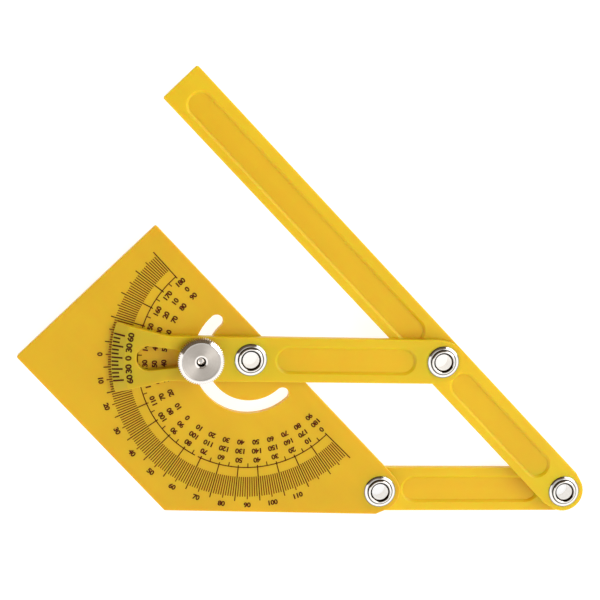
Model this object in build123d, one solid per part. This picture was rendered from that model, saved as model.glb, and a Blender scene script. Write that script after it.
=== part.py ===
from build123d import *
from math import acos, atan2, cos, degrees, hypot, pi, radians, sin
import os

# Articulated angle gauge: a protractor plate, an arm with a vernier pointer, a long blade and a
# short link, joined by four hollow rivets into a parallelogram.  A clamp screw on the arm runs
# in the plate's curved slot, and a knurled thumb nut locks the angle.
#
# Frame: the origin is the main pivot's axis at the back face of the plate.  +X runs along the
# arm from the main pivot to the elbow, +Z points out of the printed face.  Millimetres.

# ---- driving dimensions -------------------------------------------------------------------
PIVOT_SPACING = 82.0        # between the pivots of every side of the parallelogram
REST_ANGLE = 44.7           # between the arm and the plate's long axis, as stored
STRIP_THICK = 3.5           # plate, blade and link
ARM_THICK = 4.0             # vernier arm
LAYER_GAP = 0.1             # between mouldings that slide over each other
HALF_WIDTH = 9.6            # half the width of blade and link
ARM_HALF = 9.4              # half the width of the arm
LUG_R = 8.8                 # round end of a moulding, about its pivot
SHOULDER = 2.1              # where a strip starts to narrow, short of its pivot
EDGE_ROUND = 0.35           # moulded edge radius
CORNER_ROUND = 0.9          # corners seen from above

# recessed panels in both faces of the strips
PANEL_HALF = 5.9
PANEL_DEPTH = 0.9
PANEL_DRAFT = 50.0
PANEL_ROUND = 0.25

# rivets
BARREL_R = 4.4
RIVET_BORE_R = 3.45
HEAD_R = 6.3
HEAD_THICK = 0.5
RIM_R = 5.25
RIM_HEIGHT = 0.75
FUNNEL_R = 3.95             # where the rolled rim turns down into the bore
FUNNEL_HEIGHT = 0.45
MOUTH_ROUND = 0.3
WASHER_R = 6.75
WASHER_THICK = 0.65
WASHER_EDGE = 0.12
WASHER_GAP = 0.05
FIXED_HOLE_R = 4.45
RUNNING_HOLE_R = 4.5
OPEN_HOLE_R = 4.6           # the last pivot of the closed linkage

# plate outline, in the plate's own axes: X from the main pivot to the corner pivot
PLATE_OUTER = (-67.3, 10.4)
PLATE_LEFT = (-67.55, -68.1)
PLATE_FOOT = (22.5, -70.6)
PLATE_SHOULDER = (88.3, -8.0)
PLATE_EDGE_END = (79.9, 9.05)

# curved slot and clamp
SLOT_R = 21.0
SLOT_WIDTH = 5.6
SLOT_START = 178.0
SLOT_SWEEP = 180.0
NECK_SIDE = 5.1
SCREW_R = 1.95
SCREW_HOLE_R = 2.1
SCREW_HEAD_R = 6.0
SCREW_HEAD_THICK = 1.8
SCREW_END_DEPTH = 1.8       # how far the screw's end sits below the nut's top
SCREW_END_ROUND = 1.4

# thumb nut and its washer
NUT_R = 9.65
NUT_FACE_R = 8.0
NUT_HEIGHT = 5.6
NUT_TOP_BEVEL = 1.0
NUT_FOOT_BEVEL = 0.5
NUT_TEETH = 64
TOOTH_DEPTH = 0.6
NUT_BORE_R = 2.0
NUT_SINK_R = 2.5
NUT_SINK_DEPTH = 0.22
FACE_RING_DEPTH = 0.12
NUT_WASHER_R = 6.5
NUT_WASHER_BORE_R = 2.2
NUT_WASHER_THICK = 0.8
SEAT_GAP = 0.02

# vernier end of the arm
FAN_R = 57.5
FAN_HALF_ANGLE = 14.85
FAN_NECK = -34.3            # where the fan starts to widen from the strip
FAN_SLOPE_START = 52.0      # radius where the top starts to slope down to the reading edge
FAN_EDGE_THICK = 1.8        # left at the reading edge
FAN_BLEND = 14.0
WINDOW_HALF_ANGLE = 7.0
WINDOW_ROUND = 0.35
WINDOW_OUTER = 42.1         # centre of the window's big end, from the main pivot
WINDOW_INNER = 31.6         # and of its small end
ARM_PANEL = (10.3, 70.5)
ELBOW_STEP = 0.5            # the elbow end is stepped down under its rivet
ELBOW_STEP_BACK = 4.0
ELBOW_STEP_R = 7.8

# blade, measured along it from the elbow, and link panel, from the corner pivot
BLADE_TIP = -160.8
UPPER_PANEL = (-154.2, -12.5)
LOWER_PANEL = (9.3, 70.3)
BLADE_PANEL_SHIFT = -0.5    # leaves the outer working edge the wider rim
LINK_PANEL = (10.0, 72.0)

# ---- levels and places --------------------------------------------------------------------
ARM_Z = STRIP_THICK + LAYER_GAP
ARM_TOP = ARM_Z + ARM_THICK
LINK_Z = -LAYER_GAP - STRIP_THICK
SCREW_Z = -LAYER_GAP
NUT_WASHER_Z = ARM_TOP + SEAT_GAP
NUT_Z = NUT_WASHER_Z + NUT_WASHER_THICK + SEAT_GAP
NUT_TOP = NUT_Z + NUT_HEIGHT

MAIN = Vector(0, 0, 0)
ELBOW = Vector(PIVOT_SPACING, 0, 0)
CORNER = PIVOT_SPACING * Vector(cos(radians(REST_ANGLE)), -sin(radians(REST_ANGLE)), 0)
FOOT = CORNER + ELBOW
PLATE_PLACE = Rot(0, 0, -REST_ANGLE)
BLADE_PLACE = Pos(ELBOW) * Rot(0, 0, -REST_ANGLE)


# ---- shared shapes ------------------------------------------------------------------------
def tangent_point(outside, centre, side):
    """Where a line from a point touches the lug circle about centre; side is +1 or -1."""
    dx = outside[0] - centre[0]
    dy = outside[1] - centre[1]
    turn = atan2(dy, dx) + side * acos(LUG_R / hypot(dx, dy))
    return (centre[0] + LUG_R * cos(turn), centre[1] + LUG_R * sin(turn))


def lug_end(pivot_x, sense, half=HALF_WIDTH):
    """A strip's narrowed round end: a sloped shoulder each side and an arc about the pivot."""
    start_x = pivot_x - sense * SHOULDER
    touch = tangent_point((start_x, half), (pivot_x, 0), -sense)
    tip = (pivot_x + sense * LUG_R, 0)
    low = Line((start_x, -half), (touch[0], -touch[1]))
    arc = ThreePointArc((touch[0], -touch[1]), tip, touch)
    high = Line(touch, (start_x, half))
    return [low, arc, high]


def moulding(outline, thick):
    """A flat moulding on the XY plane with its long edges slightly rounded."""
    body = extrude(outline, thick)
    rims = body.edges().group_by(Axis.Z)
    return fillet(rims[0] + rims[-1], EDGE_ROUND)


def top_edges_between(body, low_x, high_x):
    """The edges of openings in a strip's top face that lie between two stations along it."""
    top = body.edges().group_by(Axis.Z)[-1]
    return top.filter_by(lambda e: low_x < e.center().X < high_x and abs(e.center().Y) < PANEL_HALF + 1)


def with_panels(strip, spans, thick, shift=0.0):
    """A strip with recessed panels in both faces between stations, rounded at their rims in front."""
    for low, high in spans:
        outline = SlotOverall(high - low, 2 * PANEL_HALF)
        front = extrude(outline, -PANEL_DEPTH, taper=PANEL_DRAFT)
        back = extrude(outline, PANEL_DEPTH, taper=PANEL_DRAFT)
        strip -= Pos((low + high) / 2, shift, thick) * front
        strip -= Pos((low + high) / 2, shift, 0) * back
        strip = fillet(top_edges_between(strip, low - 1, high + 1), PANEL_ROUND)
    return strip


def hole(x, y, radius, thick):
    """A cylinder that cuts a round hole right through a moulding."""
    return Pos(x, y, thick / 2) * Cylinder(radius, thick + 2)


def turned(edges):
    """A solid of revolution about Z from a closed outline in the XZ plane."""
    return revolve(Plane.XZ * make_face(edges), Axis.Z)


# ---- mouldings ----------------------------------------------------------------------------
def protractor_plate():
    pivot = (PIVOT_SPACING, 0)
    low_touch = tangent_point(PLATE_SHOULDER, pivot, 1)
    high_touch = tangent_point(PLATE_EDGE_END, pivot, -1)
    sides = Polyline(high_touch, PLATE_EDGE_END, PLATE_OUTER, PLATE_LEFT, PLATE_FOOT,
                     PLATE_SHOULDER, low_touch)
    lug = ThreePointArc(low_touch, (PIVOT_SPACING + LUG_R, 0), high_touch)
    outline = make_face([sides, lug])
    sharp = outline.vertices().sort_by(Axis.X)[:2] + outline.vertices().sort_by(Axis.Y)[:1]
    plate = moulding(fillet(sharp, CORNER_ROUND), STRIP_THICK)
    track = SlotArc(CenterArc((0, 0), SLOT_R, SLOT_START, SLOT_SWEEP), SLOT_WIDTH)
    plate -= Pos(0, 0, -1) * extrude(track, STRIP_THICK + 2)
    plate -= hole(0, 0, FIXED_HOLE_R, STRIP_THICK)
    plate -= hole(PIVOT_SPACING, 0, RUNNING_HOLE_R, STRIP_THICK)
    return PLATE_PLACE * plate


def window():
    """Tapered reading window: two round ends joined by lines that aim at the main pivot."""
    slope = radians(WINDOW_HALF_ANGLE)
    big = WINDOW_OUTER * sin(slope)
    small = WINDOW_INNER * sin(slope)
    ends = [(-reach * cos(slope) ** 2, reach * cos(slope) * sin(slope))
            for reach in (WINDOW_OUTER, WINDOW_INNER)]
    flank = Polyline(ends[0], ends[1], (ends[1][0], -ends[1][1]), (ends[0][0], -ends[0][1]),
                     close=True)
    outline = make_face(flank)
    outline += Pos(-WINDOW_OUTER, 0) * Circle(big)
    outline += Pos(-WINDOW_INNER, 0) * Circle(small)
    return Pos(0, 0, -1) * extrude(outline, ARM_THICK + 2)


def fan_slope():
    """The material taken off the top of the fan, down to its thin curved reading edge."""
    fall = (ARM_THICK - FAN_EDGE_THICK) / (FAN_R - FAN_SLOPE_START)
    low = (FAN_R + 1, FAN_EDGE_THICK - fall)
    high = (FAN_R + 1, ARM_THICK + 1)
    inner = (FAN_SLOPE_START - 1 / fall, ARM_THICK + 1)
    ring = turned(Polyline(low, high, inner, close=True))
    return ring & Pos(-FAN_R, 0, 0) * Box(2 * FAN_R, 2 * FAN_R, 4 * ARM_THICK)


def vernier_arm():
    half_angle = radians(FAN_HALF_ANGLE)
    corner = (-FAN_R * cos(half_angle), FAN_R * sin(half_angle))
    lug = lug_end(PIVOT_SPACING, 1, ARM_HALF)
    strip_end = PIVOT_SPACING - SHOULDER
    low = Polyline((corner[0], -corner[1]), (FAN_NECK, -ARM_HALF), (strip_end, -ARM_HALF))
    high = Polyline((strip_end, ARM_HALF), (FAN_NECK, ARM_HALF), corner)
    arc = ThreePointArc(corner, (-FAN_R, 0), (corner[0], -corner[1]))
    outline = make_face([low, *lug, high, arc])
    by_x = outline.vertices().sort_by(Axis.X)
    outline = fillet(by_x[:2], CORNER_ROUND)
    necks = outline.vertices().filter_by_position(Axis.X, FAN_NECK - 1, FAN_NECK + 1)
    arm = moulding(fillet(necks, FAN_BLEND), ARM_THICK)
    arm -= fan_slope()
    arm -= window()
    arm = fillet(top_edges_between(arm, -WINDOW_OUTER - 8, -WINDOW_INNER + 6), WINDOW_ROUND)
    arm = with_panels(arm, [ARM_PANEL], ARM_THICK)
    arm -= hole(0, 0, RUNNING_HOLE_R, ARM_THICK)
    arm -= hole(PIVOT_SPACING, 0, RUNNING_HOLE_R, ARM_THICK)
    arm -= hole(-SLOT_R, 0, SCREW_HOLE_R, ARM_THICK)
    step_length = ELBOW_STEP_BACK + LUG_R + 1
    step = Pos(step_length / 2 - ELBOW_STEP_BACK, 0) * Rectangle(step_length, 3 * ARM_HALF)
    step += Circle(ELBOW_STEP_R)
    arm -= Pos(PIVOT_SPACING, 0, ARM_THICK - ELBOW_STEP) * extrude(step, ELBOW_STEP + 1)
    return Pos(0, 0, ARM_Z) * arm


def long_blade():
    lug = lug_end(PIVOT_SPACING, 1)
    strip_end = PIVOT_SPACING - SHOULDER
    back = Polyline((strip_end, HALF_WIDTH), (BLADE_TIP, HALF_WIDTH), (BLADE_TIP, -HALF_WIDTH),
                    (strip_end, -HALF_WIDTH))
    outline = make_face([*lug, back])
    outline = fillet(outline.vertices().sort_by(Axis.X)[:2], CORNER_ROUND)
    blade = moulding(outline, STRIP_THICK)
    blade = with_panels(blade, [UPPER_PANEL, LOWER_PANEL], STRIP_THICK, BLADE_PANEL_SHIFT)
    blade -= hole(0, 0, FIXED_HOLE_R, STRIP_THICK)
    blade -= hole(PIVOT_SPACING, 0, OPEN_HOLE_R, STRIP_THICK)
    return BLADE_PLACE * blade


def lower_link():
    near = lug_end(0, -1)
    far = lug_end(PIVOT_SPACING, 1)
    low = Line((SHOULDER, -HALF_WIDTH), (PIVOT_SPACING - SHOULDER, -HALF_WIDTH))
    high = Line((SHOULDER, HALF_WIDTH), (PIVOT_SPACING - SHOULDER, HALF_WIDTH))
    link = moulding(make_face([*near, low, *far, high]), STRIP_THICK)
    link = with_panels(link, [LINK_PANEL], STRIP_THICK)
    for x in (0, PIVOT_SPACING):
        link -= hole(x, 0, FIXED_HOLE_R, STRIP_THICK)
    return Pos(CORNER) * Pos(0, 0, LINK_Z) * link


# ---- metal parts --------------------------------------------------------------------------
def rivet(centre, back_z, seat_z):
    """Hollow rivet: a flat head under back_z, a barrel, and a rolled rim on a washer at seat_z."""
    foot_z = back_z - HEAD_THICK
    rim_z = seat_z + WASHER_GAP + WASHER_THICK
    head_mid = (HEAD_R, back_z - HEAD_THICK / 2)
    head_edge = HEAD_R - HEAD_THICK / 2
    mouth = ThreePointArc(
        (RIVET_BORE_R, foot_z + MOUTH_ROUND),
        (RIVET_BORE_R + MOUTH_ROUND * (1 - cos(pi / 4)), foot_z + MOUTH_ROUND * (1 - sin(pi / 4))),
        (RIVET_BORE_R + MOUTH_ROUND, foot_z))
    foot = Line((RIVET_BORE_R + MOUTH_ROUND, foot_z), (head_edge, foot_z))
    edge = ThreePointArc((head_edge, foot_z), head_mid, (head_edge, back_z))
    barrel = Polyline((head_edge, back_z), (BARREL_R, back_z), (BARREL_R, rim_z), (RIM_R, rim_z))
    lip = (FUNNEL_R, rim_z + FUNNEL_HEIGHT)
    crown = (FUNNEL_R + (RIM_R - FUNNEL_R) * 0.48, rim_z + RIM_HEIGHT)
    roll = ThreePointArc((RIM_R, rim_z), (RIM_R - 0.2, rim_z + RIM_HEIGHT * 0.66), crown)
    turn_in = ThreePointArc(crown, ((crown[0] + lip[0]) / 2, rim_z + RIM_HEIGHT - 0.07), lip)
    funnel = Line(lip, (RIVET_BORE_R, lip[1] - (FUNNEL_R - RIVET_BORE_R)))
    bore = Line(funnel @ 1, (RIVET_BORE_R, foot_z + MOUTH_ROUND))
    return Pos(centre) * turned([mouth, foot, edge, barrel, roll, turn_in, funnel, bore])


def crowned_washer(centre, bottom_z):
    """The rivet's washer: flat under the rolled rim, then falling in a curve to a thin edge."""
    top_z = bottom_z + WASHER_THICK
    edge_z = bottom_z + WASHER_EDGE
    bulge = ((RIM_R + WASHER_R) / 2 + 0.03, (top_z + edge_z) / 2 + 0.07)
    flat = Polyline((WASHER_R, edge_z), (WASHER_R, bottom_z), (FIXED_HOLE_R, bottom_z),
                    (FIXED_HOLE_R, top_z), (RIM_R - 0.05, top_z))
    crown = ThreePointArc((RIM_R - 0.05, top_z), bulge, (WASHER_R, edge_z))
    return Pos(centre) * turned([flat, crown])


def ring_washer(centre, bottom_z, bore_r, outer_r, thick, rounding):
    """A flat washer whose top outer edge is rounded."""
    ring = Cylinder(outer_r, thick) - Cylinder(bore_r, thick + 1)
    ring = fillet(ring.edges().filter_by(GeomType.CIRCLE).sort_by(Axis.Z)[-2:].sort_by(
        lambda e: e.radius)[-1:], rounding)
    return Pos(centre) * Pos(0, 0, bottom_z + thick / 2) * ring


def clamp_screw():
    """Low round head under the plate, square neck in the slot, plain shank up to the nut."""
    head_z = SCREW_Z - SCREW_HEAD_THICK
    crown = SCREW_HEAD_R - 1.2
    dome = ThreePointArc((0, head_z), (crown * 0.62, head_z + 0.3), (SCREW_HEAD_R, SCREW_Z - 0.5))
    head = turned([dome, Polyline((SCREW_HEAD_R, SCREW_Z - 0.5), (SCREW_HEAD_R, SCREW_Z),
                                  (0, SCREW_Z), (0, head_z))])
    neck_height = STRIP_THICK - 0.2 - SCREW_Z
    neck = Pos(0, 0, SCREW_Z + neck_height / 2) * Box(NECK_SIDE, NECK_SIDE, neck_height)
    top_z = NUT_TOP - SCREW_END_DEPTH
    shank = Pos(0, 0, (SCREW_Z + top_z) / 2) * Cylinder(SCREW_R, top_z - SCREW_Z)
    shank = fillet(shank.edges().sort_by(Axis.Z)[-1:], SCREW_END_ROUND)
    return Pos(-SLOT_R, 0, 0) * (head + neck + shank)


def thumb_nut():
    """Knurled nut: straight teeth round the side, bevelled above and below, sunk bore."""
    step = pi / NUT_TEETH
    rim = [((NUT_R - TOOTH_DEPTH * (i % 2)) * cos(i * step),
            (NUT_R - TOOTH_DEPTH * (i % 2)) * sin(i * step)) for i in range(2 * NUT_TEETH)]
    toothed = extrude(make_face(Polyline(*rim, close=True)), NUT_HEIGHT)
    ring_r = NUT_FACE_R - 0.35
    shell = turned(Polyline(
        (NUT_BORE_R, 0), (NUT_R - NUT_FOOT_BEVEL, 0), (NUT_R + 0.05, NUT_FOOT_BEVEL),
        (NUT_R + 0.05, NUT_HEIGHT - NUT_TOP_BEVEL), (NUT_FACE_R, NUT_HEIGHT),
        (ring_r, NUT_HEIGHT), (ring_r - FACE_RING_DEPTH, NUT_HEIGHT - FACE_RING_DEPTH),
        (NUT_SINK_R + 0.3, NUT_HEIGHT - FACE_RING_DEPTH),
        (NUT_BORE_R, NUT_HEIGHT - FACE_RING_DEPTH - NUT_SINK_DEPTH), close=True))
    return Pos(-SLOT_R, 0, NUT_Z) * (toothed & shell)


# ---- assembly -----------------------------------------------------------------------------
RIVETS = {
    "main_pivot": (MAIN, 0.0, ARM_TOP),
    "elbow": (ELBOW, 0.0, ARM_TOP - ELBOW_STEP),
    "corner": (CORNER, LINK_Z, STRIP_THICK),
    "foot": (FOOT, LINK_Z, STRIP_THICK),
}


def nodes():
    pieces = {
        "protractor_plate": protractor_plate(),
        "vernier_arm": vernier_arm(),
        "long_blade": long_blade(),
        "lower_link": lower_link(),
        "clamp_screw": clamp_screw(),
        "thumb_nut": thumb_nut(),
        "nut_washer": ring_washer(Vector(-SLOT_R, 0, 0), NUT_WASHER_Z, NUT_WASHER_BORE_R,
                                  NUT_WASHER_R, NUT_WASHER_THICK, 0.25),
    }
    for name, (centre, back_z, seat_z) in RIVETS.items():
        pieces[name + "_eyelet"] = rivet(centre, back_z, seat_z)
        pieces[name + "_washer"] = crowned_washer(centre, seat_z + WASHER_GAP)
    return pieces


os.makedirs("parts", exist_ok=True)
for node, shape in nodes().items():
    export_step(shape, f"parts/{node}.step")
    print(node, round(shape.volume, 2))
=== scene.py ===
from math import atan2, cos, pi, radians, sin

import bmesh
import bpy
from mathutils import Euler, Matrix, Vector


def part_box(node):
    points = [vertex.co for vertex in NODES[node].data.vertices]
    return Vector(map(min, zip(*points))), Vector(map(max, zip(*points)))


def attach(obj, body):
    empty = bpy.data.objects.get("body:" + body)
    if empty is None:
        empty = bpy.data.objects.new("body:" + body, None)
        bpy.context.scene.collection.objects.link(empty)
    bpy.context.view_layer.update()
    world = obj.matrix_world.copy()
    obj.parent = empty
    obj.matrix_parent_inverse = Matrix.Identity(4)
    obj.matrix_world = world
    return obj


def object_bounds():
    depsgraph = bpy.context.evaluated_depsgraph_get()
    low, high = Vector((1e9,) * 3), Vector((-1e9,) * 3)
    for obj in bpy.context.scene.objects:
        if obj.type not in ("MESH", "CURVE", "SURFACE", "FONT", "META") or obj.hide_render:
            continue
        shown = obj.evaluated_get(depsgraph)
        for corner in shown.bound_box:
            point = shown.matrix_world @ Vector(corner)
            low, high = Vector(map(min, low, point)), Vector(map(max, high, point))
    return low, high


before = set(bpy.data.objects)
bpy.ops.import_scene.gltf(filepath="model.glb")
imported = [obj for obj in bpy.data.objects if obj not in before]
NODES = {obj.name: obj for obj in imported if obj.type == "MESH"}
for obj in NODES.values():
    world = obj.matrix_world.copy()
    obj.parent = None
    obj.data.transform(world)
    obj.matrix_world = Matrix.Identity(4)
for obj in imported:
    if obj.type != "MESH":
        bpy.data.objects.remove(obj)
cad_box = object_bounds()

MM = 0.001


# ---- places read from the frame -------------------------------------------------------------
def middle(node):
    """The centre of a CAD node's box."""
    low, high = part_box(node)
    return (low + high) / 2


def top_of(node):
    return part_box(node)[1].z


MAIN = middle("main_pivot_eyelet")
ELBOW = middle("elbow_eyelet")
CORNER = middle("corner_eyelet")
FOOT = middle("foot_eyelet")
NUT = middle("thumb_nut")
PLATE_TOP = top_of("protractor_plate")
ARM_TOP = top_of("vernier_arm")
FAN_RADIUS = MAIN.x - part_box("vernier_arm")[0].x
PLATE_TURN = atan2(CORNER.y - MAIN.y, CORNER.x - MAIN.x)


# ---- node helpers ---------------------------------------------------------------------------
class Nodes:
    """A node tree, with short calls for the nodes that the finishes and the sky share.

    Any input can be a value or another node's output.
    """

    def __init__(self, tree, coordinate):
        self.tree = tree
        self.place = self.node("ShaderNodeTexCoord").outputs[coordinate]

    def fill(self, socket, value):
        if isinstance(value, bpy.types.NodeSocket):
            self.tree.links.new(value, socket)
        else:
            socket.default_value = value

    def node(self, kind, inputs=None, **settings):
        """A new node, with its inputs given by their names or numbers."""
        made = self.tree.nodes.new(kind)
        for key, value in settings.items():
            setattr(made, key, value)
        for key, value in (inputs or {}).items():
            self.fill(made.inputs[key], value)
        return made

    def maths(self, operation, *values):
        made = self.node("ShaderNodeMath", dict(enumerate(values)), operation=operation)
        return made.outputs[0]

    def length(self, x, y):
        squares = [self.maths("MULTIPLY", part, part) for part in (x, y)]
        return self.maths("SQRT", self.maths("ADD", *squares))

    def spread(self, value, low_in, high_in, low_out=0.0, high_out=1.0):
        """A value taken smoothly from one range to another, and held at its ends."""
        numbers = dict(enumerate((value, low_in, high_in, low_out, high_out)))
        made = self.node("ShaderNodeMapRange", numbers, interpolation_type="SMOOTHSTEP")
        return made.outputs["Result"]

    def mix(self, share, first, second, blend="MIX"):
        colours = {0: share, 6: first, 7: second}
        made = self.node("ShaderNodeMix", colours, data_type="RGBA", blend_type=blend)
        return made.outputs[2]

    def noise(self, scale, detail=3.0, roughness=0.5, place=None, distortion=0.0):
        made = self.node("ShaderNodeTexNoise", {
            "Vector": place or self.place, "Scale": scale, "Detail": detail,
            "Roughness": roughness, "Distortion": distortion})
        return made.outputs["Fac"]

    def bump(self, height, distance, strength, under=None):
        """A bump that adds to the one under it."""
        made = self.node("ShaderNodeBump", {
            "Height": height, "Distance": distance, "Strength": strength})
        if under is not None:
            self.fill(made.inputs["Normal"], under)
        return made.outputs["Normal"]

    def axes(self, vector):
        return self.node("ShaderNodeSeparateXYZ", {0: vector}).outputs

    def turned_place(self, centre, turn=0.0, stretch=(1, 1, 1)):
        """Coordinates about a centre, turned about Z and stretched along their own axes."""
        made = self.node("ShaderNodeMapping", {"Vector": self.place}, vector_type="TEXTURE")
        made.inputs["Location"].default_value = centre
        made.inputs["Rotation"].default_value = (0, 0, turn)
        made.inputs["Scale"].default_value = stretch
        return made.outputs["Vector"]


class Graph(Nodes):
    """A material whose Principled shader the finishes fill in."""

    def __init__(self, name):
        self.material = bpy.data.materials.new(name)
        self.material.use_nodes = True
        super().__init__(self.material.node_tree, "Object")
        self.shader = self.tree.nodes["Principled BSDF"]

    def set(self, **sockets):
        for key, value in sockets.items():
            self.fill(self.shader.inputs[key.replace("_", " ")], value)


def rgba(red, green, blue):
    """A linear colour from the usual 0 to 255 display values."""
    def linear(v):
        v /= 255
        return v / 12.92 if v <= 0.04045 else ((v + 0.055) / 1.055) ** 2.4
    return (linear(red), linear(green), linear(blue), 1.0)


# ---- plastic --------------------------------------------------------------------------------
# Scale (per metre), detail and roughness of a noise.
FLOW = (90.0, 4.0, 0.55)
CLOUD = (28.0, 2.0, 0.5)
SPECK = (2600.0, 2.0, 0.6)
HAIR = (240.0, 2.0, 0.5)
GRAIN = (3200.0, 3.0, 0.6)
SWELL = (140.0, 2.0, 0.5)

# Depth (in metres) and strength of a bump.
GRAIN_BUMP = (0.00002, 0.35)
SWELL_BUMP = (0.00006, 0.25)
SCRATCH_BUMP = (0.000008, 0.4)

FLOW_STRETCH = (9.0, 1.0, 1.0)
FLOW_WAVER = 0.4
FLOW_SHARE = 0.45           # of the change of tone; the clouds make the rest
SPECK_COLOUR = rgba(250, 222, 90)
SPECK_SHARE = 0.06
SCRATCH_TURN = 0.35         # from the moulding's length, in radians
SCRATCH_STRETCH = (40.0, 1.0, 1.0)
SCRATCH_WAVER = 0.2
SCRATCH_ROUGHNESS = 0.08    # added to the plastic's
RIM_LIGHT_DROP = (0.8, 0.6)       # the rims' painted highlight fades in between these depths under their top, in mm
FAN_TONE_AND_SHADE_FROM = 34.0        # the fan's darker tone, partly painted shade, fades in between these distances along -X, in mm
FAN_TONE_AND_SHADE_FULL = 40.0


def plastic(name, colour, deep, centre, turn, rim_light=None, fan_tone_and_shade=None):
    """Moulded ABS: satin grain, flow marks along the moulding, fine handling scratches.

    A rim light is the piece's node and how much lighter its raised rims are painted than its
    panels' floors: a painted highlight.
    The fan tone takes over towards -X, where the arm's fan is: partly the moulding's own tone,
    partly painted shade of the fan sloping away from the light.
    """
    g = Graph(name)
    x, _, z = g.axes(g.turned_place(centre))
    flow = g.noise(*FLOW, g.turned_place(centre, turn, FLOW_STRETCH), FLOW_WAVER)
    cloud = g.noise(*CLOUD)
    tone = g.maths("ADD", g.maths("MULTIPLY", flow, FLOW_SHARE),
                   g.maths("MULTIPLY", cloud, 1 - FLOW_SHARE))
    base = g.mix(g.spread(tone, 0.35, 0.65), deep, colour)
    # Painted highlight: the raised rims are painted lighter than the panels' floors.
    if rim_light is not None:
        node, rim_highlight = rim_light
        low, high = [top_of(node) - centre.z - depth * MM for depth in RIM_LIGHT_DROP]
        base = g.mix(g.spread(z, low, high), base, (*rim_highlight, 1.0), "MULTIPLY")
    # Partly painted shade: the fan is painted darker and greener towards -X, on top of its own
    # tone.
    if fan_tone_and_shade is not None:
        share = g.spread(x, -FAN_TONE_AND_SHADE_FULL * MM, -FAN_TONE_AND_SHADE_FROM * MM, 1.0, 0.0)
        base = g.mix(share, base, fan_tone_and_shade)
    base = g.mix(g.spread(g.noise(*SPECK), 0.62, 0.8, 0.0, SPECK_SHARE), base, SPECK_COLOUR)

    across = g.turned_place(centre, turn + SCRATCH_TURN, SCRATCH_STRETCH)
    scratch = g.spread(g.noise(*HAIR, across, SCRATCH_WAVER), 0.66, 0.74)
    rough = g.maths("ADD", g.spread(flow, 0.3, 0.7, 0.36, 0.46),
                    g.maths("MULTIPLY", scratch, SCRATCH_ROUGHNESS))
    grain = g.bump(g.noise(*GRAIN), *GRAIN_BUMP)
    swell = g.bump(g.noise(*SWELL), *SWELL_BUMP, grain)
    g.set(Base_Color=base, Roughness=rough, Normal=g.bump(scratch, *SCRATCH_BUMP, swell))
    g.set(IOR=1.5, Specular_IOR_Level=0.36)
    g.set(Subsurface_Weight=0.7, Subsurface_Radius=(1.0, 0.25, 0.03), Subsurface_Scale=0.005)
    return g.material


# ---- metal ----------------------------------------------------------------------------------
NICKEL = rgba(244, 241, 236)
NICKEL_SHADE = rgba(222, 217, 209)
STEEL = rgba(243, 238, 232)
STEEL_SHADE = rgba(222, 215, 208)

TARNISH = (700.0, 3.0, 0.6)         # noises and bumps as for plastic
DENT_BUMP = (0.000005, 0.1)
RING_DETAIL = (4.0, 0.65)
RING_STRENGTH = 0.6

# Rings of painted shade, where shade and dark reflections fall: from, to and share, in millimetres
# from the axis.
EYELET_SHADE_RINGS = ((3.54, 4.16, 0.98), (5.02, 5.44, 0.95), (6.5, 6.9, 0.75))
THREAD_SHADE_RINGS = ((1.36, 2.4, 0.96),)
# The colour of the painted shade.
PAINTED_SHADE = rgba(44, 31, 18)
PAINTED_SHADE_SOFT = 0.08

# The thumb nut, with its radii in millimetres.
NUT_TEETH = 64
GROOVES_FROM = 8.95         # where painted shade begins in the grooves between the teeth
GROOVES_FULL = 9.25
# Painted shade in the grooves between the teeth.
GROOVE_SHADE = rgba(92, 66, 14)
GROOVE_SHADE_SHARE = 0.95
SINK_EDGE = 2.7             # of the bright countersink round the nut's bore
FACE_EDGE = 7.7             # of the brushed face
FACE_SOFT = 0.1
FACE_DULLING = (0.7, 0.68, 0.655, 1.0)
FACE_ROUGHNESS = (0.4, 0.5)
BEVEL_ROUGHNESS = 0.16


def turned_metal(name, colour, shade, centre, ring_scale):
    """The start of a metal turned about a vertical axis: its rings and a little tarnish."""
    g = Graph(name)
    x, y, _ = g.axes(g.turned_place(centre))
    radius = g.length(x, y)
    line = g.node("ShaderNodeCombineXYZ", {0: radius}).outputs[0]
    rings = g.noise(ring_scale, *RING_DETAIL, line)
    base = g.mix(g.spread(g.noise(*TARNISH), 0.35, 0.7, 0.0, 0.3), colour, shade)
    base = g.mix(g.spread(rings, 0.3, 0.7, 0.0, 0.5), base, shade)
    return g, radius, rings, base


def finish_metal(g, base, roughness, rings, ring_depth):
    turning = g.bump(rings, ring_depth, RING_STRENGTH)
    dents = g.bump(g.noise(*TARNISH), *DENT_BUMP, turning)
    g.set(Base_Color=base, Roughness=roughness, Normal=dents, Metallic=1.0)
    return g.material


def with_grime(g, radius, base, shade_rings):
    """Darkens rings about the axis with painted shade."""
    for inner, outer, share in shade_rings:
        rise = g.spread(radius, (inner - PAINTED_SHADE_SOFT) * MM, inner * MM, 0.0, share)
        fall = g.spread(radius, outer * MM, (outer + PAINTED_SHADE_SOFT) * MM, 1.0, 0.0)
        base = g.mix(g.maths("MULTIPLY", rise, fall), base, PAINTED_SHADE)
    return base


def plated(name, centre):
    """Bright nickel, with painted shade and dark reflection in the rolled rim's throat, and
    painted shade round it and at the washer's edge.
    """
    g, radius, rings, base = turned_metal(name, NICKEL, NICKEL_SHADE, centre, 5000.0)
    # Painted shade and dark reflection, in dark rings.
    base = with_grime(g, radius, base, EYELET_SHADE_RINGS)
    return finish_metal(g, base, g.spread(rings, 0.25, 0.75, 0.08, 0.13), rings, 0.000002)


def steel(name, rough, ring_scale, ring_depth, shade_rings=()):
    """Turned steel about the nut's axis, with any rings of painted shade on it."""
    g, radius, rings, base = turned_metal(name, STEEL, STEEL_SHADE, NUT, ring_scale)
    base = with_grime(g, radius, base, shade_rings)
    roughness = g.spread(rings, 0.25, 0.75, rough * 0.8, rough * 1.25)
    return finish_metal(g, base, roughness, rings, ring_depth)


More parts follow.
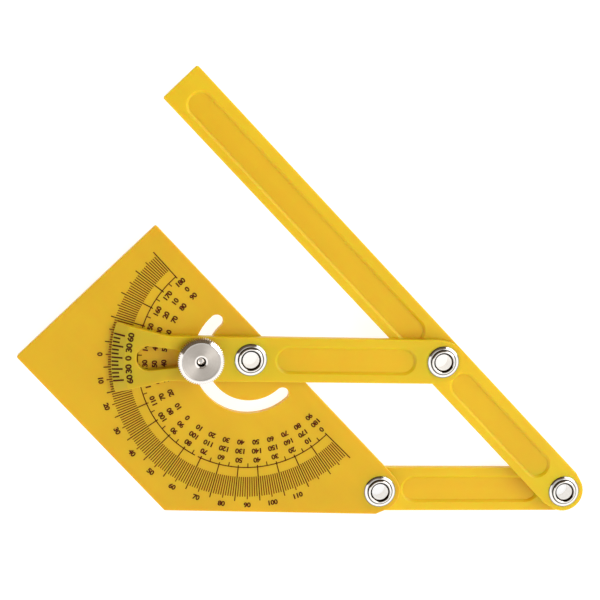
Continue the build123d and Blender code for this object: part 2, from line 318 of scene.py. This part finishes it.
def brushed_steel(name):
    """The nut's steel: a dull circular lay on the face, a bright bevel and countersink, and
    painted shade in the grooves between the teeth."""
    g, radius, rings, base = turned_metal(name, STEEL, STEEL_SHADE, NUT, 3800.0)
    inside = g.spread(radius, (FACE_EDGE - FACE_SOFT) * MM, (FACE_EDGE + FACE_SOFT) * MM, 1.0, 0.0)
    outside = g.spread(radius, (SINK_EDGE - FACE_SOFT) * MM, SINK_EDGE * MM)
    face = g.maths("MULTIPLY", inside, outside)
    base = g.mix(face, base, FACE_DULLING, "MULTIPLY")

    x, y, _ = g.axes(g.turned_place(NUT))
    wave = g.maths("COSINE", g.maths("MULTIPLY", g.maths("ARCTAN2", y, x), NUT_TEETH))
    # Painted shade between the teeth.
    groove_shade = g.maths("MULTIPLY", g.spread(wave, -0.7, 0.5, GROOVE_SHADE_SHARE, 0.0),
                     g.spread(radius, GROOVES_FROM * MM, GROOVES_FULL * MM))
    base = g.mix(groove_shade, base, GROOVE_SHADE)

    lay_roughness = g.spread(rings, 0.25, 0.75, *FACE_ROUGHNESS)
    extra = g.maths("MULTIPLY", face, g.maths("SUBTRACT", lay_roughness, BEVEL_ROUGHNESS))
    roughness = g.maths("ADD", extra, BEVEL_ROUGHNESS)
    lay = g.node("ShaderNodeTangent", direction_type="RADIAL", axis="Z").outputs[0]
    g.set(Anisotropic=0.75, Anisotropic_Rotation=0.25, Tangent=lay)
    return finish_metal(g, base, roughness, rings, 0.000006)


# ---- finishes of the CAD nodes --------------------------------------------------------------
def dress(node, material):
    """Leaves a CAD node with one material."""
    mesh = NODES[node].data
    mesh.materials.clear()
    mesh.materials.append(material)


def finish_cad_nodes():
    # The rim lights of the arm, blade and link are painted highlights on their raised rims.
    plate = plastic("plate_yellow", rgba(220, 182, 12), rgba(215, 175, 9), MAIN, PLATE_TURN)
    # The arm's last colour is its fan's darker tone, partly painted shade.
    arm = plastic("arm_yellow", rgba(220, 187, 12), rgba(214, 180, 9), MAIN, 0.0,
                  ("vernier_arm", (1.0, 1.05, 1.0)), rgba(204, 175, 13))
    blade = plastic("blade_yellow", rgba(215, 186, 12), rgba(210, 179, 9), ELBOW, PLATE_TURN,
                    ("long_blade", (1.1, 1.12, 1.15)))
    link = plastic("link_yellow", rgba(219, 189, 12), rgba(214, 181, 10), CORNER, 0.0,
                   ("lower_link", (1.05, 1.07, 1.05)))
    dress("protractor_plate", plate)
    dress("vernier_arm", arm)
    dress("long_blade", blade)
    dress("lower_link", link)
    pivots = {"main_pivot": MAIN, "elbow": ELBOW, "corner": CORNER, "foot": FOOT}
    for pivot, centre in pivots.items():
        dress(pivot + "_eyelet", plated(pivot + "_nickel", centre))
        dress(pivot + "_washer", plated(pivot + "_plating", centre))
    dress("thumb_nut", brushed_steel("brushed_steel"))
    dress("nut_washer", steel("washer_steel", 0.3, 6000.0, 0.00001))
    # The dark ring round the screw's end is painted shade in its bore.
    dress("clamp_screw", steel("screw_steel", 0.15, 7000.0, 0.000005, THREAD_SHADE_RINGS))


# ---- layout of the printed marks ------------------------------------------------------------
INK_SINK = 0.02 * MM
INK_RISE = 0.015 * MM

# Printed scale, in millimetres from the main pivot and degrees of its own numbering.
SCALE_ZERO = 0.86           # the 0 line's direction, from the plate's long axis
SCALE_DRIFT = 2.7           # how far the divisions open out between 60 and 180
DRIFT_FROM = 60.0
SCALE_END = 180
PRINT_SHIFT = Vector((0.05, -0.53))     # the printed circles' centre, off the pivot's
RING_DRIFT = 0.95           # how far the outer ring closes in between 60 and 160
RING_DRIFT_SPAN = 100.0
RING_WIDTH = 13.3           # from the baseline to the ring's edge
BASELINE = 46.68
BASELINE_GAP = (71.7, 73.3)
TEN_LINE = (45.8, 61.5)
FIVE_OUTER = (50.8, 60.6)
FIVE_INNER = (44.9, 46.7)
ONE_TICK = (50.8, 59.45)
LINE_WIDTH = 0.46
FINE_WIDTH = 0.44

# Numbers on the plate.
OUTER_ROW = 63.1
INNER_ROWS = (43.65, 39.7, 35.8)
OUTER_LAST = 110
OUTER_ZERO = 135            # the inner numbering where the outer row starts
DIGIT_HEIGHT = 2.3
DIGIT_WIDEN = 1.1

# Numbers everywhere, in the face's own units.
DIGIT_WEIGHT = 0.046        # thickening of the strokes
DIGIT_SPACING = 0.92
DIGIT_FACETS = 3            # in each stretch of a digit's outline

# Vernier on the arm's fan.
VERNIER_STEP = 20 / 12
VERNIER_TICK_WIDTH = 0.74
LONG_TICK_TO = 52.9
SHORT_TICK_TO = 54.5
VERNIER_TICK_END = 0.12     # short of the reading edge
VERNIER_ROW = 50.5
VERNIER_DIGIT_HEIGHT = 2.7
VERNIER_WIDEN = 1.2
FAN_SLOPE_START = 52.0
FAN_EDGE_DROP = 2.2         # how far the fan's reading edge lies below the arm's top


def past(value, span):
    """How far a division is past DRIFT_FROM, as a smooth share of a span of divisions."""
    share = min(max((value - DRIFT_FROM) / span, 0.0), 1.0)
    return share * share * (3 - 2 * share)


def scale_direction(value):
    """The direction of a division, in radians in the frame; the print drifts open past 60."""
    drift = SCALE_DRIFT * past(value, SCALE_END - DRIFT_FROM)
    return PLATE_TURN + radians(SCALE_ZERO - value - drift)


def print_point(radius, value):
    """A point of the plate's printing, at a radius of its circles on a division."""
    direction = scale_direction(value)
    outward = Vector((cos(direction), sin(direction)))
    closing = RING_DRIFT * past(value, RING_DRIFT_SPAN) * max(radius - BASELINE, 0.0) / RING_WIDTH
    reach = radius - closing + PRINT_SHIFT.dot(outward)
    return MAIN.xy + outward * reach * MM


# ---- meshes of the printed marks ------------------------------------------------------------
def to_mesh(bm, name):
    bmesh.ops.recalc_face_normals(bm, faces=bm.faces)
    mesh = bpy.data.meshes.new(name)
    bm.to_mesh(mesh)
    bm.free()
    return mesh


def band(bm, left, right):
    """A thin closed film between two rows of points, a little into the surface and above it."""
    rows = []
    for side in (left, right):
        for rim_highlight in (-INK_SINK, INK_RISE):
            rows.append([bm.verts.new((p[0], p[1], p[2] + rim_highlight)) for p in side])
    left_low, left_high, right_low, right_high = rows
    ring = (left_low, right_low, right_high, left_high)
    for i in range(len(left) - 1):
        for side, other in zip(ring, ring[1:] + ring[:1]):
            bm.faces.new((side[i], side[i + 1], other[i + 1], other[i]))
    bm.faces.new([side[0] for side in ring])
    bm.faces.new([side[-1] for side in reversed(ring)])


def stroke(bm, points, width):
    """A straight mark of even width that runs through points, which may change level."""
    run = Vector(points[-1]) - Vector(points[0])
    side = Vector((-run.y, run.x, 0)).normalized() * width / 2
    band(bm, [Vector(p) - side for p in points], [Vector(p) + side for p in points])


def arc(bm, radius, width, first, last):
    """A printed arc between two divisions, one facet to every half division."""
    steps = max(1, round((last - first) * 2))
    left, right = [], []
    for i in range(steps + 1):
        value = first + (last - first) * i / steps
        for side, reach in ((left, radius - width / 2), (right, radius + width / 2)):
            side.append((*print_point(reach, value), PLATE_TOP))
    band(bm, left, right)


def plate_lines():
    """Baseline, the longer lines each ten and five, and a fine tick for each degree."""
    lines = bmesh.new()
    fine = bmesh.new()
    arc(lines, BASELINE, LINE_WIDTH, 0, BASELINE_GAP[0])
    arc(lines, BASELINE, LINE_WIDTH, BASELINE_GAP[1], SCALE_END)
    for value in range(SCALE_END + 1):
        marks = [(fine, ONE_TICK, FINE_WIDTH)]
        if value % 5 == 0:
            marks = [(fine, FIVE_OUTER, FINE_WIDTH), (lines, FIVE_INNER, FINE_WIDTH)]
        if value % 10 == 0:
            marks = [(lines, TEN_LINE, LINE_WIDTH)]
        for bm, ends, width in marks:
            stroke(bm, [(*print_point(r, value), PLATE_TOP) for r in ends], width * MM)
    return to_mesh(lines, "plate_scale_lines"), to_mesh(fine, "plate_scale_ticks")


def glyph_mesh(text, height, widen):
    """A number as a thin film centred on its own origin, at the given digit height."""
    curve = bpy.data.curves.new("glyphs", "FONT")
    curve.body = text
    curve.size = 1.0
    curve.space_character = DIGIT_SPACING
    curve.offset = DIGIT_WEIGHT
    curve.extrude = 0.5         # either way, so that the film is 1 thick before it is scaled
    curve.resolution_u = DIGIT_FACETS
    holder = bpy.data.objects.new("glyphs", curve)
    mesh = bpy.data.meshes.new_from_object(holder)
    bpy.data.objects.remove(holder)
    bpy.data.curves.remove(curve)

    xs = [v.co.x for v in mesh.vertices]
    ys = [v.co.y for v in mesh.vertices]
    tall = max(ys) - min(ys)
    centre = Vector(((max(xs) + min(xs)) / 2, (max(ys) + min(ys)) / 2, 0))
    mesh.transform(Matrix.Translation(-centre))
    across = height * MM / tall
    mesh.transform(Matrix.Diagonal((across * widen, across, INK_SINK + INK_RISE, 1)))
    mesh.transform(Matrix.Translation((0, 0, (INK_RISE - INK_SINK) / 2)))
    return mesh


def place_number(bm, number, height, spot, level, facing, widen):
    """Adds a number at a spot, with the tops of its digits pointing along facing."""
    mesh = glyph_mesh(str(number), height, widen)
    mesh.transform(Matrix.Rotation(facing - pi / 2, 4, "Z"))
    mesh.transform(Matrix.Translation((*spot, level)))
    bm.from_mesh(mesh)
    bpy.data.meshes.remove(mesh)


def plate_numbers():
    """Three rows inside the baseline, read from the pivot, and one outside, read from the rim."""
    bm = bmesh.new()
    for value in range(0, SCALE_END + 1, 10):
        rows = (value, SCALE_END - value, abs(value - 90))
        for number, radius in zip(rows, INNER_ROWS):
            place_number(bm, number, DIGIT_HEIGHT, print_point(radius, value), PLATE_TOP,
                         scale_direction(value), DIGIT_WIDEN)
    for number in range(0, OUTER_LAST + 1, 10):
        value = OUTER_ZERO - number
        place_number(bm, number, DIGIT_HEIGHT, print_point(OUTER_ROW, value), PLATE_TOP,
                     scale_direction(value) + pi, DIGIT_WIDEN)
    return to_mesh(bm, "plate_numbers")


def vernier_marks():
    """Thirteen ticks that run down the fan's sloped edge, five of them long and numbered."""
    bm = bmesh.new()
    edge = FAN_RADIUS / MM
    fall = FAN_EDGE_DROP / (edge - FAN_SLOPE_START)
    for i in range(-6, 7):
        direction = pi + radians(i * VERNIER_STEP)
        inner = LONG_TICK_TO if i % 3 == 0 else SHORT_TICK_TO
        outward = Vector((cos(direction), sin(direction)))
        points = [(*(MAIN.xy + outward * r * MM), ARM_TOP - (r - FAN_SLOPE_START) * fall * MM)
                  for r in (inner, edge - VERNIER_TICK_END)]
        stroke(bm, points, VERNIER_TICK_WIDTH * MM)
        if i % 3 == 0:
            place_number(bm, abs(i) * 10, VERNIER_DIGIT_HEIGHT,
                         MAIN.xy + outward * VERNIER_ROW * MM, ARM_TOP, direction,
                         VERNIER_WIDEN)
    return to_mesh(bm, "vernier_marks")


# ---- printed pieces -------------------------------------------------------------------------
INK_SPECK = (5200.0, 3.0, 0.6)
INK_PATCH = (420.0, 2.0, 0.5)
INK_BUMP = (0.00001, 0.3)


def printed_ink(name, colour, thin):
    """Pad-printed ink: matt brown, thinner in specks where it has not taken."""
    g = Graph(name)
    speck = g.noise(*INK_SPECK)
    worn = g.spread(g.maths("MULTIPLY", speck, g.noise(*INK_PATCH)), 0.28, 0.5, 0.0, 0.8)
    g.set(Base_Color=g.mix(worn, colour, thin), Roughness=g.spread(speck, 0.3, 0.7, 0.42, 0.6))
    g.set(Normal=g.bump(speck, *INK_BUMP), Specular_IOR_Level=0.1)
    return g.material


def new_piece(name, mesh, material, body):
    """Shows a mesh as a piece of its own, which rides on a body."""
    piece = bpy.data.objects.new(name, mesh)
    bpy.context.scene.collection.objects.link(piece)
    mesh.materials.append(material)
    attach(piece, body)


def print_marks():
    brown = printed_ink("scale_brown", rgba(86, 34, 3), rgba(138, 76, 9))
    light = printed_ink("tick_brown", rgba(116, 50, 3), rgba(150, 80, 8))
    dark = printed_ink("vernier_brown", rgba(80, 42, 8), rgba(112, 78, 12))
    lines, ticks = plate_lines()
    new_piece("plate_scale_lines", lines, brown, "plate")
    new_piece("plate_scale_ticks", ticks, light, "plate")
    new_piece("plate_numbers", plate_numbers(), brown, "plate")
    new_piece("vernier_marks", vernier_marks(), dark, "arm")


# ---- stage and light ------------------------------------------------------------------------
FLOOR_HALF = 6.0
FLOOR_CELLS = 8
FLOOR_DROP = 0.2 * MM
FLOOR_GREYS = ((0.32, 0.32, 0.32, 1.0), (0.3, 0.3, 0.3, 1.0))
FLOOR_CLOUD_SCALE = 6.0
FLOOR_GLOW = 0.86           # a lit sheet, so shadows on it stay faint

KEY_OFFSET = Vector((0.68, 0.39, 0.55))     # from the middle of the part, in metres
KEY_SIZE = 0.6
KEY_POWER = 4.4
KEY_COLOUR = (1.0, 0.98, 0.95)

# Light tent: its directions and heights, in degrees, and how bright each part of it is.
OPENING_TOWARDS = 109.0
OPENING_HALF_WIDTH = 59.0
OPENING_FROM = 8.0
OPENING_TO = 73.0
OPENING_SOFT = 0.03         # half the soft edge at its sides, as a cosine
OPENING_DARK = 0.84
OPENING_TINT = (0.62, 0.42, 0.2, 1.0)
FOOT_TO = 5.0
ROOF_FROM = 72.0
TENT_SOFT = 5.0             # half a soft edge in height, in degrees
TENT_FOOT = 0.85
TENT_SIDE = 1.26
TENT_ROOF = 0.6


def floor():
    bm = bmesh.new()
    bmesh.ops.create_grid(bm, x_segments=FLOOR_CELLS, y_segments=FLOOR_CELLS, size=FLOOR_HALF)
    sheet = bpy.data.objects.new("floor", to_mesh(bm, "floor"))
    sheet.location = (0, 0, cad_box[0].z - FLOOR_DROP)
    g = Graph("floor_white")
    g.set(Base_Color=g.mix(g.noise(FLOOR_CLOUD_SCALE), *FLOOR_GREYS), Roughness=0.9)
    g.set(Specular_IOR_Level=0.0, Emission_Color=(1, 1, 1, 1), Emission_Strength=FLOOR_GLOW)
    sheet.data.materials.append(g.material)
    bpy.context.scene.collection.objects.link(sheet)


def key_light():
    data = bpy.data.lights.new("key", "AREA")
    data.shape = "SQUARE"
    data.size = KEY_SIZE
    data.energy = KEY_POWER
    data.color = KEY_COLOUR
    lamp = bpy.data.objects.new("key", data)
    lamp.location = (cad_box[0] + cad_box[1]) / 2 + KEY_OFFSET
    lamp.rotation_euler = (-KEY_OFFSET).to_track_quat("-Z", "Y").to_euler()
    bpy.context.scene.collection.objects.link(lamp)


def soft_edge(elevation):
    """The sines that a soft edge of the tent at an elevation runs between."""
    return sin(radians(elevation - TENT_SOFT)), sin(radians(elevation + TENT_SOFT))


def sky():
    """A light tent: bright sides, a dimmer roof and foot, and one dark opening."""
    world = bpy.data.worlds.new("tent")
    world.use_nodes = True
    bpy.context.scene.world = world
    g = Nodes(world.node_tree, "Generated")
    x, y, up = g.axes(g.place)
    turn = radians(OPENING_TOWARDS)
    towards = g.maths("ADD", g.maths("MULTIPLY", x, cos(turn)), g.maths("MULTIPLY", y, sin(turn)))
    facing = g.maths("DIVIDE", towards, g.maths("MAXIMUM", g.length(x, y), 0.001))
    side = cos(radians(OPENING_HALF_WIDTH))
    opening = g.spread(facing, side - OPENING_SOFT, side + OPENING_SOFT, 0.0, OPENING_DARK)
    opening = g.maths("MULTIPLY", opening, g.spread(up, *soft_edge(OPENING_FROM)))
    opening = g.maths("MULTIPLY", opening, g.spread(up, *soft_edge(OPENING_TO), 1.0, 0.0))
    strength = g.maths("MINIMUM", g.spread(up, *soft_edge(FOOT_TO), TENT_FOOT, TENT_SIDE),
                       g.spread(up, *soft_edge(ROOF_FROM), TENT_SIDE, TENT_ROOF))
    background = g.tree.nodes["Background"]
    tint = g.mix(opening, (1, 1, 1, 1), OPENING_TINT)
    g.fill(background.inputs["Color"], tint)
    g.fill(background.inputs["Strength"],
           g.maths("MULTIPLY", strength, g.maths("SUBTRACT", 1.0, opening)))


# ---- camera ---------------------------------------------------------------------------------
CAMERA_LENS = 90.0
CAMERA_SENSOR = 36.0
CAMERA_CLIP = 0.01
CAMERA_PLACE = Vector((-71.89, 123.44, 614.15)) * MM
CAMERA_TILT = (-9.423, -8.178, 2.448)       # in degrees, about X, Y and Z


def camera():
    data = bpy.data.cameras.new("camera")
    data.lens = CAMERA_LENS
    data.sensor_width = CAMERA_SENSOR
    data.clip_start = CAMERA_CLIP
    eye = bpy.data.objects.new("camera", data)
    eye.location = CAMERA_PLACE
    eye.rotation_euler = Euler([radians(turn) for turn in CAMERA_TILT])
    bpy.context.scene.collection.objects.link(eye)
    bpy.context.scene.camera = eye
    bpy.context.scene.view_settings.view_transform = "Standard"


camera()
finish_cad_nodes()
print_marks()
floor()
key_light()
sky()
